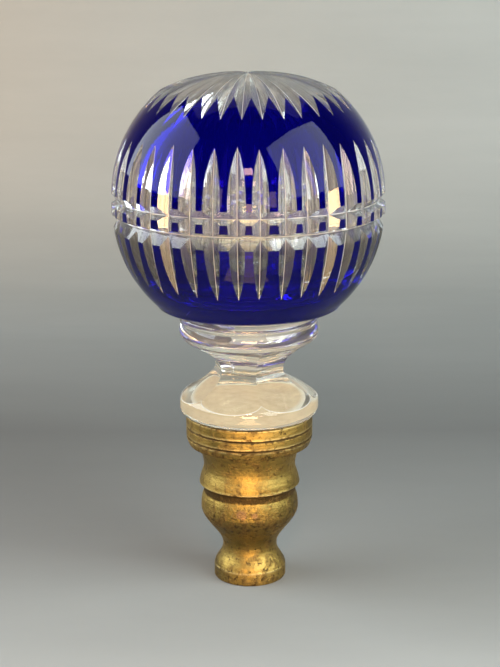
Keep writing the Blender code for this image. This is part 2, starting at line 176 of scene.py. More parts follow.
class Skin:
    """Faces gathered strip by strip, each with a material number, over one welded set of points."""

    def __init__(self):
        self.rings = []
        self.strips = []

    def ring(self, points):
        self.rings.append(points)
        return len(self.rings) - 1

    def strip(self, upper, lower, finish):
        """Faces between two closed rings of the same count; finish is a number or one for each column."""
        self.strips.append(("quads", upper, lower, finish))

    def seam(self, upper, lower, finish):
        """Faces between two closed rings of any counts, both turning the same way."""
        self.strips.append(("seam", upper, lower, finish))

    def cap(self, ring, finish, top):
        """One flat face over a ring."""
        self.strips.append(("cap", ring, top, finish))

    def onward(self, last, points, finish):
        """A new ring below the last one, with faces between them."""
        here = self.ring(points)
        self.strip(last, here, finish)
        return here

    def gather(self):
        """The welded points, and the faces over them with their material numbers."""
        points, places = weld(self.rings)
        faces = []
        slots = []

        def add(corners, slot):
            kept = [c for i, c in enumerate(corners) if c != corners[i - 1]]
            if len(set(kept)) > 2 and len(set(kept)) == len(kept):
                faces.append(kept)
                slots.append(slot)

        for kind, first, second, finish in self.strips:
            if kind == "quads":
                a, b = places[first], places[second]
                for i in range(len(a)):
                    j = (i + 1) % len(a)
                    slot = finish if isinstance(finish, int) else finish[i]
                    add([a[i], b[i], b[j], a[j]], slot)
            elif kind == "seam":
                self.bridge(points, places[first], places[second], finish, add)
            else:
                loop = list(dict.fromkeys(places[first]))
                add(loop if second else loop[::-1], finish)
        return points, faces, slots

    def build(self, name, finishes, sharp_deg):
        points, faces, slots = self.gather()
        mesh = bpy.data.meshes.new(name)
        mesh.from_pydata([tuple(p) for p in points], [], faces)
        mesh.update()
        for finish in finishes:
            mesh.materials.append(finish)
        mesh.polygons.foreach_set("material_index", slots)
        mesh.shade_smooth()
        mesh.set_sharp_from_angle(angle=math.radians(sharp_deg))
        thing = bpy.data.objects.new(name, mesh)
        bpy.context.scene.collection.objects.link(thing)
        return thing

    @staticmethod
    def bridge(points, upper, lower, finish, add):
        """Triangles between two rings, taken in the order of their points' azimuths."""
        def ordered(places):
            own = list(dict.fromkeys(places))
            own.sort(key=lambda v: math.atan2(points[v][0], -points[v][1]))
            return own, [math.atan2(points[v][0], -points[v][1]) for v in own]

        a, angle_a = ordered(upper)
        b, angle_b = ordered(lower)
        i = j = 0
        while i < len(a) or j < len(b):
            next_a = angle_a[i + 1] if i + 1 < len(a) else angle_a[0] + 2 * math.pi + i + 1 - len(a)
            next_b = angle_b[j + 1] if j + 1 < len(b) else angle_b[0] + 2 * math.pi + j + 1 - len(b)
            here_a, here_b = a[i % len(a)], b[j % len(b)]
            if j >= len(b) or (i < len(a) and next_a <= next_b):
                add([here_a, here_b, a[(i + 1) % len(a)]], finish)
                i += 1
            else:
                add([here_a, here_b, b[(j + 1) % len(b)]], finish)
                j += 1


def around_axis(azimuth, radius, height):
    """A point by its azimuth from the front (-Y) towards +X."""
    return (radius * math.sin(azimuth), -radius * math.cos(azimuth), height)


def circle(radius, z, count, turn_deg=0.0):
    """A level ring of evenly spaced points."""
    angles = math.radians(turn_deg) + np.arange(count) * 2 * math.pi / count
    return np.stack([radius * np.sin(angles), -radius * np.cos(angles), np.full(count, z)], axis=1)


def turned(outline, count):
    """A closed turned skin from an outline of (radius, height) in millimetres, capped at both ends."""
    skin = Skin()
    last = None
    for radius, height in outline:
        points = circle(radius * MM, height * MM, count)
        if last is None:
            last = skin.ring(points)
            skin.cap(last, 0, True)
        else:
            last = skin.onward(last, points, 0)
    skin.cap(last, 0, False)
    return skin


def blend(a, b, t):
    return a + (b - a) * t


def ease(t):
    return t * t * (3 - 2 * t)


# Ball


def ball_reach(latitude):
    """Distance of the uncut surface from the middle of its half ball."""
    return BALL_RADIUS * (1 + BALL_FULLNESS * math.sin(2 * latitude) ** 2)


LATITUDES = np.linspace(0, math.pi / 2, 400)
HEIGHTS = np.array([ball_reach(a) * math.sin(a) for a in LATITUDES])


def latitude_at(height):
    """Latitude and base height of the uncut surface at a height above the lower half ball's middle."""
    if height > BALL_STRETCH:
        return float(np.interp(height - BALL_STRETCH, HEIGHTS, LATITUDES)), BALL_STRETCH
    if height >= 0:
        return 0.0, height
    return -float(np.interp(-height, HEIGHTS, LATITUDES)), 0.0


def height_at(latitude):
    return ball_reach(latitude) * math.sin(latitude) + (BALL_STRETCH if latitude > 0 else 0.0)


def ball_point(azimuth, latitude, base, depth):
    """A point at a depth below the uncut surface."""
    reach = ball_reach(latitude) - depth
    height = BALL_CENTRE_Z + base + reach * math.sin(latitude)
    return around_axis(azimuth, reach * math.cos(latitude), height)


def drift(limit):
    return dice.uniform(-limit, limit)


class Cut:
    """One hand-ground upright cut, a little different from its neighbours."""

    def __init__(self, number):
        self.azimuth = math.radians(FLUTE_TURN_DEG + 360 / FLUTES * number + drift(CUT_TURN_DRIFT_DEG))
        self.top = math.radians(FLUTE_TOP_DEG + drift(CUT_END_DRIFT_DEG))
        self.foot = math.radians(FLUTE_FOOT_DEG + drift(CUT_END_DRIFT_DEG))
        self.share = dice.uniform(*CUT_DEPTH_SHARES)
        self.spread = math.tan(math.radians(FLUTE_HALF_ANGLE_DEG + drift(CUT_ANGLE_DRIFT_DEG)))
        self.groove_depths = (
            self.depth(UPPER_GROOVE[0], UPPER_GROOVE_LATITUDE),
            self.depth(LOWER_GROOVE[0], LOWER_GROOVE_LATITUDE),
        )

    def depth(self, height, latitude):
        """Depth of the cut's bottom, which runs out to nothing at its two ends."""
        change = min(1, max(0, (height - DEPTH_CHANGE_LOW) / DEPTH_CHANGE_HEIGHT))
        full = blend(FLUTE_FOOT_DEPTH, FLUTE_TOP_DEPTH, ease(change))
        tip = self.top if latitude >= 0 else self.foot
        left = min(1.0, latitude / tip)
        return self.share * full * (1 - left ** FLUTE_RUN_OUT)


def groove_level(groove, side, depth):
    """Height where a level groove's upper (+1) or lower (-1) side comes up to a cut of the given depth."""
    height, full, reach_up, reach_down = groove
    reach = reach_up if side > 0 else -reach_down
    return height + reach * max(0.0, 1 - depth / full)


def groove_depth(groove, height):
    middle, full, reach_up, reach_down = groove
    reach = reach_up if height > middle else reach_down
    away = max(abs(height - middle), GROOVE_LINE)
    return full * max(0.0, 1 - away / reach)


def flute_rows():
    """Rows as (zone, share): each column works out its own height from its zone's two ends."""
    rows = [(FLUTE_ZONES[0][0], 0.0)]
    for zone, count in FLUTE_ZONES:
        shares = np.linspace(0, 1, count + 1)[1:]
        if zone == "upper":
            shares = shares ** ROW_CROWDING
        elif zone == "lower":
            shares = 1 - (1 - shares) ** ROW_CROWDING
        rows += [(zone, share) for share in shares]
    return rows


def zone_ends(top, foot, depths):
    """Heights where each zone of a column begins and ends, by its two ends and its depth at the grooves."""
    first_up = groove_level(UPPER_GROOVE, 1, depths[0])
    first_down = groove_level(UPPER_GROOVE, -1, depths[0])
    second_up = groove_level(LOWER_GROOVE, 1, depths[1])
    second_down = groove_level(LOWER_GROOVE, -1, depths[1])
    line_up = max(first_down, min(first_up, UPPER_GROOVE[0] + GROOVE_LINE))
    line_down = min(first_up, max(first_down, UPPER_GROOVE[0] - GROOVE_LINE))
    return {
        "plain_top": (height_at(math.radians(SEAM_DEG)), top),
        "upper": (top, first_up),
        "groove_1a": (first_up, line_up),
        "line_1": (line_up, line_down),
        "groove_1b": (line_down, first_down),
        "band": (first_down, second_up),
        "groove_2a": (second_up, LOWER_GROOVE[0] + GROOVE_LINE),
        "line_2": (LOWER_GROOVE[0] + GROOVE_LINE, LOWER_GROOVE[0] - GROOVE_LINE),
        "groove_2b": (LOWER_GROOVE[0] - GROOVE_LINE, second_down),
        "lower": (second_down, foot),
        "plain_foot": (foot, height_at(math.radians(HEM_DEG))),
    }


def half_gap(azimuths, number, side):
    """Half the angle from a cut to its neighbour on one side."""
    other = azimuths[(number + side) % len(azimuths)]
    return (other - azimuths[number]) * side % (2 * math.pi) / 2


def ring_of_cuts(azimuths, side_points):
    """A row round the ball. Each cut's two sides run from its bottom out to midway to the next cut."""
    ring = []
    for number in range(len(azimuths)):
        left = side_points(number, -1, half_gap(azimuths, number, -1))
        right = side_points(number, 1, half_gap(azimuths, number, 1))
        ring += left[-2:0:-1] + right
    return ring


def flute_point(cut, side, gap, column, zone, share):
    """A point of a row: column -2 is the cut's bottom, -1 lies beside it, 0 is its edge, others are uncut."""
    out = max(0, column) / PLAIN_COLUMNS
    top = blend(height_at(cut.top), height_at(math.radians(FLUTE_TOP_DEG)), out)
    foot = blend(height_at(cut.foot), height_at(math.radians(FLUTE_FOOT_DEG)), out)
    depths = cut.groove_depths if column < 0 else (0.0, 0.0)
    height = blend(*zone_ends(top, foot, depths)[zone], share)
    latitude, base = latitude_at(height)
    depth = 0.0 if zone.startswith("plain") else max(0.0, cut.depth(height, latitude))
    around = ball_reach(latitude) * math.cos(latitude)
    edge = min(depth * cut.spread / around, gap * WIDEST_CUT)
    line = min(edge / 2, LINE_WIDTH / around) if column == -1 else 0.0
    angle = line if column < 0 else blend(edge, gap, out)
    sunk = depth if column < 0 else 0.0
    if zone.startswith(("groove", "line")):
        groove = UPPER_GROOVE if "1" in zone else LOWER_GROOVE
        sunk = max(sunk, groove_depth(groove, height))
    return ball_point(cut.azimuth + side * angle, latitude, base, sunk)


def flute_ring(zone, share, cuts):
    """One row of the upright cuts."""
    def side_points(number, side, gap):
        columns = range(-2, PLAIN_COLUMNS + 1)
        return [flute_point(cuts[number], side, gap, column, zone, share) for column in columns]

    return ring_of_cuts([cut.azimuth for cut in cuts], side_points)


def star_ring(latitude, azimuths):
    """One row of the star."""
    left = (math.pi / 2 - latitude) / math.radians(90 - STAR_TIP_DEG)
    full = STAR_DEPTH * max(0.0, 1 - left ** STAR_RUN_OUT)
    spread = math.tan(math.radians(STAR_HALF_ANGLE_DEG))
    around = ball_reach(latitude) * math.cos(latitude)

    def side_points(number, side, gap):
        edge = min(full * spread / around, gap)
        line = min(edge / 2, LINE_WIDTH / around)
        places = [(0.0, full), (line, full)]
        for column in range(PLAIN_COLUMNS + 1):
            angle = blend(edge, gap, column / PLAIN_COLUMNS)
            places.append((angle, max(0.0, full - angle * around / spread)))
        middle = azimuths[number]
        return [ball_point(middle + side * angle, latitude, BALL_STRETCH, sunk) for angle, sunk in places]

    return ring_of_cuts(azimuths, side_points)


def star_rows():
    """Latitudes of the star's rows in degrees, from beside the pole to just above the seam."""
    petals = [89.4, *np.linspace(88, 54, 18), *np.linspace(53, STAR_TIP_DEG, 16)]
    plain = np.linspace(STAR_TIP_DEG, SEAM_DEG, 5)[1:-1]
    return [*petals, *plain]


# Material numbers of the crystal's faces, in the order of its finishes
CLEAR, COBALT, GROUND, CUT = 0, 1, 2, 3
CUT_COLUMNS = 2 * PLAIN_COLUMNS + 4


def cut_columns(count):
    """Material numbers along a row: the ground line at each cut's bottom, its sides, and casing between."""
    finishes = []
    for _ in range(count):
        for column in range(CUT_COLUMNS):
            from_bottom = abs(column - PLAIN_COLUMNS - 0.5)
            kind = GROUND if from_bottom < 1 else CUT if from_bottom < 2 else COBALT
            finishes.append(kind)
    return finishes


def zone_finish(zone):
    if zone.startswith("plain"):
        return COBALT
    if zone.startswith("groove"):
        return CUT
    if zone.startswith("line"):
        return GROUND
    return cut_columns(FLUTES)


def ball_skin(skin):
    """The ball's outside from the pole down to its hem. Returns the last ring."""
    star = []
    for number in range(STAR_CUTS):
        star.append(math.radians(STAR_TURN_DEG + 360 / STAR_CUTS * number + drift(STAR_TURN_DRIFT_DEG)))
    pole = (0.0, 0.0, BALL_CENTRE_Z + BALL_STRETCH + BALL_RADIUS - STAR_DEPTH)
    last = skin.ring([pole] * (STAR_CUTS * CUT_COLUMNS))
    for degrees in star_rows():
        finish = COBALT if degrees < STAR_TIP_DEG else cut_columns(STAR_CUTS)
        last = skin.onward(last, star_ring(math.radians(degrees), star), finish)
    cuts = [Cut(number) for number in range(FLUTES)]
    first, *rows = flute_rows()
    here = skin.ring(flute_ring(*first, cuts))
    skin.seam(last, here, COBALT)
    for zone, share in rows:
        here = skin.onward(here, flute_ring(zone, share, cuts), zone_finish(zone))
    return here


# Stem


def smooth(points, pieces):
    """A curve through the points, with the ends repeated to give the end directions."""
    held = [points[0]] + points + [points[-1]]
    made = [points[0]]
    for corners in zip(held, held[1:], held[2:], held[3:]):
        for i in range(1, pieces + 1):
            made.append(tuple(curve_value(*values, i / pieces) for values in zip(*corners)))
    return made


def curve_value(a, b, c, d, t):
    """A value on the smooth curve from b to c, between neighbours a and d."""
    bend = 2 * a - 5 * b + 4 * c - d
    twist = 3 * b - a - 3 * c + d
    return 0.5 * (2 * b + (c - a) * t + bend * t * t + twist * t ** 3)


def stem_outline():
    """Turned outline from the collar's top to the seat's middle, and how many points lie above the foot."""
    collar = [(24.9, 105.8), (24.7, 105.1), (25.2, 104.4), (25.8, 103.4), (25.9, 102.2), (25.5, 101.0)]
    bevel = [(25.5, 101.0), (25.9, 99.6), (26.0, 98.0), (25.7, 96.5), (24.7, 95.1)]
    under = [(24.7, 95.1), (23.2, 93.8), (21.0, 92.0), (17.9, 89.2), (15.2, 86.6), (14.8, 85.0)]
    foot = [(16.0, 80.5), (17.2, 79.4), (19.4, 77.3), (22.2, 75.4), (24.4, 73.8), (25.5, 72.6), (26.0, 71.2)]
    foot += [(26.1, 69.3), (25.95, 67.9), (25.4, 66.7), (24.6, 65.95), (23.4, 65.6)]
    seat = [(18.0, 65.6), (9.0, 65.6)]
    above = smooth(collar, 3) + smooth(bevel, 3)[1:] + smooth(under, 3)[1:]
    points = above + smooth(foot, 4) + seat
    return [(radius * MM, height * MM) for radius, height in points], len(above)


def flat_reach(height):
    """How far a flat's middle stands from the axis at a height."""
    if height > WAIST_Z:
        share = ((height - WAIST_Z) / (FLAT_TOP_Z - WAIST_Z)) ** FLAT_CURVE
        past = max(0.0, height - FLAT_TOP_Z)
        return FLAT_RADIUS + FLAT_FLARE_UP * min(share, 1.0) + past * FLAT_TOP_SLOPE
    share = ((WAIST_Z - height) / FLAT_DROP) ** FLAT_CURVE
    return FLAT_RADIUS + FLAT_FLARE_DOWN * share


class Stem:
    """The stem's turned outline, and where the flats cut into each of its columns."""

    def __init__(self):
        outline, above = stem_outline()
        self.radii = [radius for radius, _ in outline]
        self.heights = [height for _, height in outline]
        self.lengths = [0.0]
        for a, b in zip(outline, outline[1:]):
            self.lengths.append(self.lengths[-1] + math.hypot(b[0] - a[0], b[1] - a[1]))
        self.neck = self.lengths[above]
        self.columns = []
        spans = {}
        half = 180 / FLATS
        for i in range(FLATS * FLAT_COLUMNS):
            lean = math.radians(-half + 2 * half * (i % FLAT_COLUMNS) / FLAT_COLUMNS)
            key = round(abs(lean), 6)
            if key not in spans:
                spans[key] = self.flat_span(key)
            turn = math.radians(CORNER_DEG + 360 / (FLATS * FLAT_COLUMNS) * i)
            self.columns.append((lean, turn, *spans[key]))

    def radius_along(self, length):
        return np.interp(length, self.lengths, self.radii)

    def height_along(self, length):
        return np.interp(length, self.lengths, self.heights)

    def stops(self):
        """Lengths along the outline where its rings lie: its points and the middles between them."""
        stops = []
        for a, b in zip(self.lengths, self.lengths[1:]):
            stops += [a, (a + b) / 2]
        return stops + [self.lengths[-1]]

    def flat_span(self, lean):
        """Where, along the turned outline, the flats begin and end at an angle from a flat's middle."""
        steps = np.linspace(0, self.lengths[-1], OUTLINE_STEPS)
        inside = []
        for step, radius, height in zip(steps, self.radius_along(steps), self.height_along(steps)):
            near_neck = SEARCH_TOP_Z > height > SEARCH_FOOT_Z
            if near_neck and flat_reach(height) / math.cos(lean) < radius:
                inside.append(step)
        return inside[0], inside[-1]

    def turned_ring(self, stop, above):
        """The turned outline at a stop, held short of each column's flat."""
        ring = []
        for _, turn, first, final in self.columns:
            held = min(stop, first - EDGE_WIDTH) if above else max(stop, final + EDGE_WIDTH)
            ring.append(around_axis(turn, self.radius_along(held), self.height_along(held)))
        return ring

    def flat_ring(self, share):
        """A row across the flats, from their upper ends at 0 to their lower ends at 1."""
        ring = []
        for lean, turn, first, final in self.columns:
            top, foot = self.height_along(first + EDGE_WIDTH), self.height_along(final - EDGE_WIDTH)
            height = blend(top, foot, share)
            ring.append(around_axis(turn, flat_reach(height) / math.cos(lean), height))
        return ring


def hem_radius():
    hem = math.radians(HEM_DEG)
    return ball_reach(hem) * math.cos(hem)


def underside_skin(skin, last):
    """The ball's rounded hem and its underside in towards the collar. Returns the last ring."""
    rings = [(hem_radius() - HEM_ROUND * inward, UNDERSIDE_Z + HEM_ROUND * up) for inward, up in HEM_STEPS]
    rings.append((blend(hem_radius(), COLLAR_NECK_RADIUS, DIP_PLACE), UNDERSIDE_Z - UNDERSIDE_DIP))
    points = [circle(radius, height, FLATS * FLAT_COLUMNS, CORNER_DEG) for radius, height in rings]
    here = skin.ring(points[0])
    skin.seam(last, here, COBALT)
    for ring, finish in zip(points[1:], (COBALT, CLEAR, CLEAR)):
        here = skin.onward(here, ring, finish)
    return here


def stem_skin(skin, last):
    """Collar, hexagonal neck, foot and seat, with a fine ground line round each flat."""
    stem = Stem()
    for stop in [s for s in stem.stops() if s <= stem.neck]:
        last = skin.onward(last, stem.turned_ring(stop, True), CLEAR)
    for share in np.linspace(0, 1, FLAT_ROWS + 1):
        last = skin.onward(last, stem.flat_ring(share), GROUND if share == 0 else CLEAR)
    for stop in [s for s in stem.stops() if s >= stem.neck]:
        last = skin.onward(last, stem.turned_ring(stop, False), GROUND if stop == stem.neck else CLEAR)
    skin.cap(last, CLEAR, False)


def cavity_skin(skin):
    """The blown hollow, facing into itself."""
    inner = BALL_RADIUS - WALL
    middle = BALL_CENTRE_Z + BALL_STRETCH / 2
    power = 2 / CAVITY_SQUARENESS
    last = None
    for step in np.linspace(0, math.pi, CAVITY_ROWS + 1)[1:-1]:
        up, out = math.cos(step), math.sin(step)
        if up >= 0:
            radius, height = inner * out, middle + (inner + BALL_STRETCH / 2) * up
        else:
            radius = inner * out ** power
            height = middle + (CAVITY_FLOOR - BALL_STRETCH / 2) * abs(up) ** power
        here = skin.ring(circle(radius, height, CAVITY_COLUMNS))
        if last is None:
            skin.cap(here, CLEAR, False)
        else:
            skin.strip(here, last, CLEAR)
        last = here
    skin.cap(last, CLEAR, True)


def crystal_finial():
    skin = Skin()
    stem_skin(skin, underside_skin(skin, ball_skin(skin)))
    cavity_skin(skin)
    finishes = [crystal_finish(), casing_finish(), ground_finish(), cut_finish()]
    thing = skin.build("crystal", finishes, sharp_deg=16)
    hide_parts("crystal_finial")
    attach(thing, "root")
    return thing


# Brass and plaster


def brass_outline():
    """Outline of the mount as (radius, height) in millimetres, from the recess down to the underside."""
    points = [(1.0, 62.0), (22.4, 62.0), (22.4, 65.2), (22.55, 65.3), (23.5, 65.3), (23.8, 65.15)]
    points += [(BAND_RADIUS, 64.85)]
    for middle in BAND_GROOVES:
        points += [(BAND_RADIUS - depth, middle + rise) for depth, rise in BAND_GROOVE]
    points += [(23.55, 55.6), (23.1, 54.3), (22.9, 53.95), (22.6, 53.85), (20.2, 53.85), (19.6, 53.7)]
    points += ogee_points(SKIRT_TOP, BRASS_WAIST, 0.7, 14)
    points += ogee_points(BRASS_WAIST, SKIRT_FOOT, 1.0, 9)
    points += [(19.1, 38.6), (19.1, 38.2), (18.8, 38.0), (17.9, 37.6), (17.5, 36.6), (17.45, 35.2)]
    points += [(17.5, 34.5), (17.85, 33.6), (18.2, 32.4), (18.45, 30.8), (18.55, 29.0)]
    points += ogee_points(ANKLE, BELLY, 1.02, 26)[-2::-1]
    points += [ANKLE]
    points += ogee_points(ANKLE, RIM_SHOULDER, 1.3, 10)
    points += [(13.7, 4.9), (13.75, 4.5), (13.75, 0.5), (13.6, 0.15), (13.3, 0.0), (6.0, 0.0), (1.0, 0.0)]
    return points


def ogee_points(start, end, bias, pieces):
    """An S curve on from its start, upright at both ends; with a bias of 1 it turns over in its middle."""
    points = []
    for i in range(1, pieces + 1):
        t = i / pieces
        points.append((blend(start[0], end[0], ease(t ** bias)), blend(start[1], end[1], t)))
    return points


def dense(points, longest):
    """The outline with its long steps divided."""
    made = [points[0]]
    for a, b in zip(points, points[1:]):
        pieces = max(1, math.ceil(math.hypot(b[0] - a[0], b[1] - a[1]) / longest))
        made += [(blend(a[0], b[0], i / pieces), blend(a[1], b[1], i / pieces)) for i in range(1, pieces + 1)]
    return made


def brass_mount():
    skin = turned(dense(brass_outline(), LONGEST_STEP), BRASS_COLUMNS)
    thing = skin.build("brass", [brass_finish()], sharp_deg=24)
    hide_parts("brass_mount")
    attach(thing, "root")
    return thing


def plaster_bed():
    outline = [(1.0, 65.66), (12.0, 65.66), (19.2, 65.66), (19.3, 65.56), (20.0, 65.45), (22.6, 65.4)]
    outline += [(22.1, 65.3), (22.1, 62.4), (15.0, 62.3), (1.0, 62.3)]
    thing = turned(outline, PLASTER_COLUMNS).build("plaster", [plaster_finish()], sharp_deg=30)
    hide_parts("plaster_bed")
    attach(thing, "root")
    return thing


# Materials


class Finish:
    """A material, with short calls for the nodes that it is made of."""

    def __init__(self, name):
        self.material = bpy.data.materials.new(name)
        self.material.use_nodes = True
        self.nodes = self.material.node_tree.nodes
        self.links = self.material.node_tree.links
        self.shader = self.nodes["Principled BSDF"]

    def place(self):
        """Where a point lies on the object, in metres."""
        return self.nodes.new("ShaderNodeTexCoord").outputs["Object"]

    def noise_along(self, vector, scale, detail, roughness):
        made = self.nodes.new("ShaderNodeTexNoise")
        made.inputs["Scale"].default_value = scale
        made.inputs["Detail"].default_value = detail
        made.inputs["Roughness"].default_value = roughness
        self.links.new(vector, made.inputs["Vector"])
        return made.outputs["Fac"]

    def noise(self, scale, detail=4.0, roughness=0.55, stretch=(1, 1, 1)):
        mapping = self.nodes.new("ShaderNodeMapping")
        mapping.inputs["Scale"].default_value = stretch
        self.links.new(self.place(), mapping.inputs["Vector"])
        return self.noise_along(mapping.outputs["Vector"], scale, detail, roughness)

    def vector(self, operation, source, other=(0, 0, 0)):
        """One step of vector arithmetic between a node's vector and a fixed one."""
        made = self.nodes.new("ShaderNodeVectorMath")
        made.operation = operation
        self.links.new(source, made.inputs[0])
        made.inputs[1].default_value = other
        return made.outputs["Value" if operation in ("LENGTH", "DISTANCE") else "Vector"]

    def share(self, value, low, high):
        """Where a value lies between low, 0, and high, 1."""
        made = self.nodes.new("ShaderNodeMapRange")
        made.inputs["From Min"].default_value = low
        made.inputs["From Max"].default_value = high
        self.links.new(value, made.inputs["Value"])
        return made.outputs["Result"]

    def share_along(self, axis, low, high):
        """Where a point lies along an axis between low, 0, and high, 1."""
        split = self.nodes.new("ShaderNodeSeparateXYZ")
        self.links.new(self.place(), split.inputs["Vector"])
        return self.share(split.outputs[axis], low, high)

    def added(self, first, second):
        made = self.nodes.new("ShaderNodeMath")
        made.operation = "ADD"
        self.links.new(first, made.inputs[0])
        self.links.new(second, made.inputs[1])
        return made.outputs[0]

    def ramp(self, source, stops):
        """Colours by position, from stops of (position, colour)."""
        made = self.nodes.new("ShaderNodeValToRGB")
        for element, (position, colour) in zip(made.color_ramp.elements, (stops[0], stops[-1])):
            element.position = position
            element.color = (*colour, 1)
        for position, colour in stops[1:-1]:
            made.color_ramp.elements.new(position).color = (*colour, 1)
        self.links.new(source, made.inputs["Fac"])
        return made.outputs["Color"]

    def ramp_grey(self, source, stops):
        """Greys by position, from stops of (position, grey)."""
        return self.ramp(source, [(position, (grey, grey, grey)) for position, grey in stops])

    def mix(self, share, first, second):
        made = self.nodes.new("ShaderNodeMix")
        made.data_type = "RGBA"
        self.links.new(share, made.inputs["Factor"])
        for value, socket in ((first, made.inputs[6]), (second, made.inputs[7])):
            if isinstance(value, tuple):
                socket.default_value = (*value, 1)
            else:
                self.links.new(value, socket)
        return made.outputs[2]

    def times(self, first, second):
        """Two colours multiplied."""
        made = self.nodes.new("ShaderNodeMix")
        made.data_type = "RGBA"
        made.blend_type = "MULTIPLY"
        made.inputs["Factor"].default_value = 1.0
        self.links.new(first, made.inputs[6])
        self.links.new(second, made.inputs[7])
        return made.outputs[2]

    def bump(self, source, distance):
        made = self.nodes.new("ShaderNodeBump")
        made.inputs["Distance"].default_value = distance
        made.inputs["Strength"].default_value = 1.0
        self.links.new(source, made.inputs["Height"])
        self.links.new(made.outputs["Normal"], self.shader.inputs["Normal"])


def glass(name, colours, see_through, roughness, ior, grain=(60.0, (1, 1, 1)), waviness=0.00002):
    """Glass tinted between two colours, with its surface waved by a noise of the given scale and stretch."""
    made = Finish(name)
    tint = made.ramp(made.noise(22.0), [(0.35, colours[0]), (0.65, colours[1])])
    made.links.new(tint, made.shader.inputs["Base Color"])
    made.shader.inputs["Transmission Weight"].default_value = see_through
    made.shader.inputs["Roughness"].default_value = roughness
    made.shader.inputs["IOR"].default_value = ior
    scale, stretch = grain
    made.bump(made.noise(scale, 2.0, 0.5, stretch), waviness)
    return made


def crystal_finish():
    """The stem's clear crystal, with faint level waves."""
    level_waves = (60.0, (0.4, 0.4, 12))
    colours = [(0.96, 0.96, 0.88), (0.93, 0.93, 0.84)]
    made = glass("clear_crystal", colours, see_through=0.95, roughness=0.02, ior=1.52, grain=level_waves,
                 waviness=0.00005)
    return made.material


def casing_finish():
    """Cobalt glass, with a low IOR so that it stays dark under the lights."""
    colours = [(0.00002, 0, 0.13), (0.00004, 0.00001, 0.19)]
    made = glass("cobalt_casing", colours, see_through=0.82, roughness=0.0, ior=1.32)
    made.shader.inputs["Specular Tint"].default_value = (0.5, 0.46, 0.55, 1.0)
    return made.material


def ground_finish():
    """The fine matt lines at the bottom of the cuts and round the flats."""
    colours = [(1.0, 0.98, 0.93), (0.95, 0.93, 0.88)]
    return glass("ground_line", colours, see_through=0.7, roughness=0.35, ior=1.5).material


# How clear a cut is made, by height in millimetres: painted shade, darker in the ball's lower half and at the
# star
CUT_PAINTED_SHADE_BY_HEIGHT = [(110.0, 0.18), (136.0, 0.22), (141.5, 0.95), (172.0, 1.0), (182.0, 0.75), (192.0, 0.75)]
CUT_STREAKS = [(0.36, (0.3, 0.3, 0.34)), (0.48, (0.9, 0.94, 0.92)), (0.6, (0.97, 1, 0.99))]


def cut_finish():
    """The ball's cuts: fine grinding marks along them streak and soften what is seen through; painted shade
    darkens them by height.
    """
    made = Finish("cut_crystal")
    direction_out = made.vector("NORMALIZE", made.vector("MULTIPLY", made.place(), (1, 1, 0)))
    marks = made.noise_along(direction_out, 60.0, 3.0, 0.6)
    low, high = CUT_PAINTED_SHADE_BY_HEIGHT[0][0], CUT_PAINTED_SHADE_BY_HEIGHT[-1][0]
    painted_shade_stops = [((height - low) / (high - low), painted_shade) for height, painted_shade in CUT_PAINTED_SHADE_BY_HEIGHT]
    # Painted shade: the cuts are darkened by height, most in the ball's lower half and a little at the star.
    painted_shade = made.ramp_grey(made.share_along("Z", low * MM, high * MM), painted_shade_stops)
    colour = made.times(made.ramp(marks, CUT_STREAKS), painted_shade)
    made.links.new(colour, made.shader.inputs["Base Color"])
    made.shader.inputs["Transmission Weight"].default_value = 0.89
    made.shader.inputs["Roughness"].default_value = 0.04
    made.shader.inputs["IOR"].default_value = 1.52
    made.bump(marks, 0.00003)
    return made.material


# How dark the brass is made by height, in millimetres: darkest in the band's two grooves; grime on the belly
# and the rim; painted shade just under the band (53.7 mm) and in the undercut below the bead (35 to 37.6 mm)
DIRT_AND_SHADE_BY_HEIGHT = [
    (0.0, 0.45), (3.5, 0.35), (4.9, 0.2), (9.0, 0.1), (15.0, 0.2), (15.5, 0.1), (20.0, 0.2), (25.0, 0.55),
    (29.0, 0.3), (32.0, 0.1), (34.3, 0.1), (35.0, 1.1), (37.6, 1.1), (38.3, 0.1), (42.0, 0.0), (48.0, 0.1),
    (52.8, 0.2), (53.7, 0.8), (54.6, 0.35), (56.6, 0.25), (57.2, 1.5), (57.8, 0.1), (60.3, 0.1), (60.9, 1.5),
    (61.6, 0.05), (64.4, 0.1), (65.3, 0.3),
]
# Edges made bright, in millimetres: partly wear from handling, partly painted highlight along the lips of the
# grooves and the bead
WORN_AND_HIGHLIGHT_EDGES = (4.7, 38.3, 56.4, 58.0, 61.7, 65.1)
WORN_AND_HIGHLIGHT_EDGE_WIDTH = 0.45

# Marks on the brass: middle and radius in millimetres
COPPERY_PATCHES = [((-3.0, -18.3, 30.5), 2.2), ((1.6, -18.3, 30.3), 1.3)]
PITS = [((7.1, -16.4, 40.6), 0.8), ((2.2, -10.3, 13.7), 0.45), ((-9.5, -10.6, 6.2), 0.7)]

# Colours of the brass
CLEAN_BRASS = [(0.35, (0.19, 0.132, 0.036)), (0.5, (0.31, 0.208, 0.053)), (0.66, (0.43, 0.29, 0.077))]
# Bright edges: partly worn brass, partly painted highlight
WORN_AND_HIGHLIGHT_BRASS = (0.62, 0.47, 0.2)
# Brown and black: grime, and painted shade where they fall under the band and in the undercut below the bead
BROWN_DIRT_AND_SHADE = [(0.3, (0.13, 0.08, 0.026)), (0.7, (0.24, 0.155, 0.05))]
BLACK_DIRT_AND_SHADE = (0.045, 0.03, 0.014)
SPECK = (0.09, 0.055, 0.02)
COPPERY = (0.27, 0.155, 0.08)
PIT = (0.04, 0.025, 0.01)


